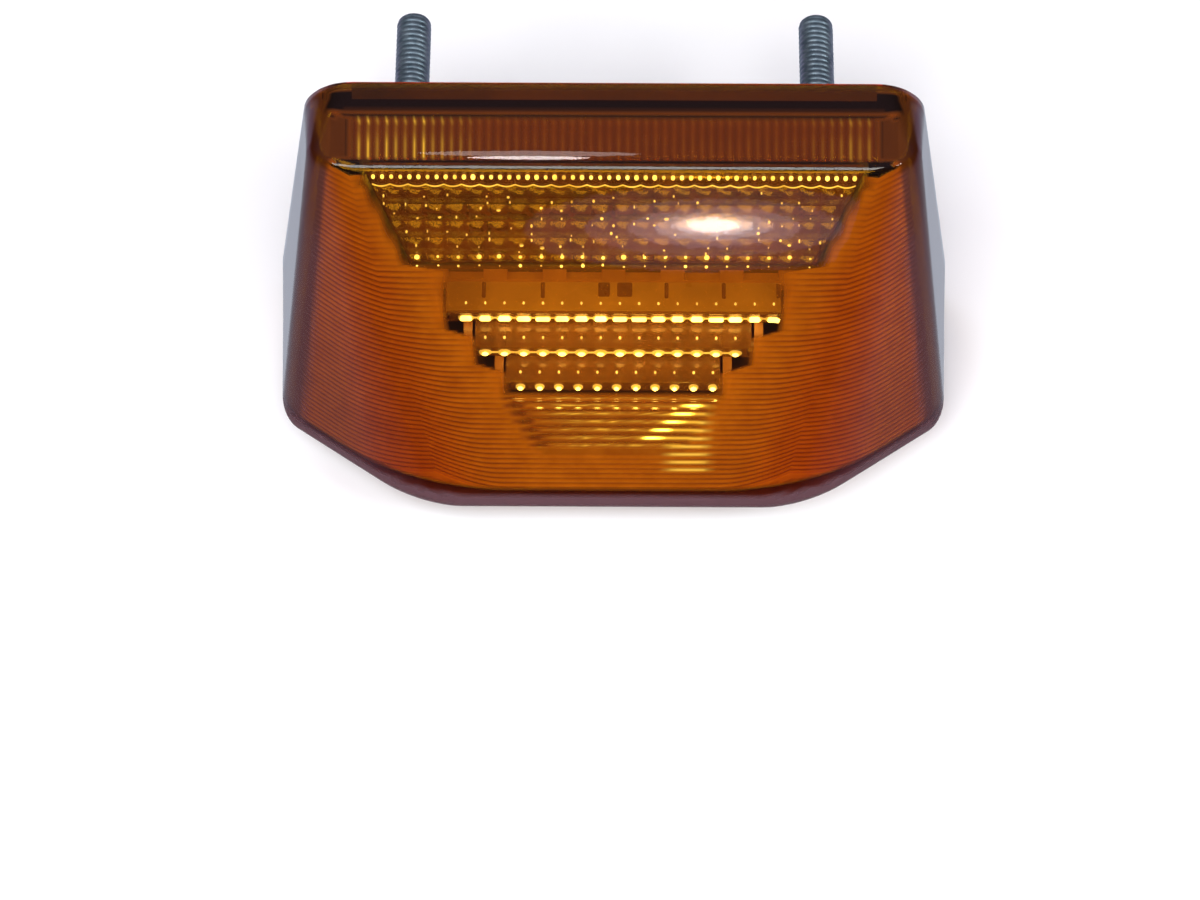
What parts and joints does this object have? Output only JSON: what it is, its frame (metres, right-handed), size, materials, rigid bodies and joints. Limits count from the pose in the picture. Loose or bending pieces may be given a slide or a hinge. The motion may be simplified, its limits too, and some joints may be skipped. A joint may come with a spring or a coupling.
{
  "type": "truck clearance lamp",
  "caption": "Wedge-shaped amber clearance lamp with a faceted lens, black back plate, two threaded studs and an oval connector socket.",
  "frame": {"origin": "midway between the two studs, on the mounting face of the back plate", "axes": "+X to the right along the lamp's width, +Y along the studs and away from the lamp, +Z towards the narrow edge of the back"},
  "size_m": [0.1162, 0.0856, 0.0599],
  "materials": {
    "amber_lens": "transparent amber moulded plastic, glossy",
    "sealant": "orange-brown sealing compound",
    "black_plastic": "moulded, semi-gloss",
    "connector_plastic": "moulded, glossy inside",
    "label_film": "printed film, plain light blue",
    "vent_fabric": "fine streaked membrane",
    "board_laminate": "white solder mask",
    "reflector_plastic": "pale moulded plastic",
    "clear_optic": "clear moulded optic",
    "chip_ceramic": "small ceramic chips",
    "chip_body": "moulded chip body",
    "led_package": "white case with a yellow window",
    "zinc": "zinc-plated steel, dull",
    "tin": "tin-plated pins",
    "screw_steel": "plated steel"
  },
  "bodies": {
    "root": {"lens": "amber_lens", "sealant_bead": "sealant", "back_plate": "black_plastic", "connector_housing": "connector_plastic", "connector_label": "label_film", "vent_membrane": "vent_fabric", "circuit_board": "board_laminate", "reflector": "reflector_plastic", "light_guide": "clear_optic", "pillow_optic": "clear_optic", "resistors": "chip_ceramic", "protection_diode": "chip_body", "smoothing_capacitor": "chip_ceramic", "stud_left": "zinc", "stud_right": "zinc", "terminal_left": "tin", "terminal_right": "tin", "board_screw_left": "screw_steel", "board_screw_right": "screw_steel", "reflector_screw_left": "screw_steel", "reflector_screw_right": "screw_steel", "led_1": "led_package", "led_2": "led_package", "led_3": "led_package", "led_4": "led_package", "led_5": "led_package", "led_6": "led_package"}
  },
  "joints": []
}
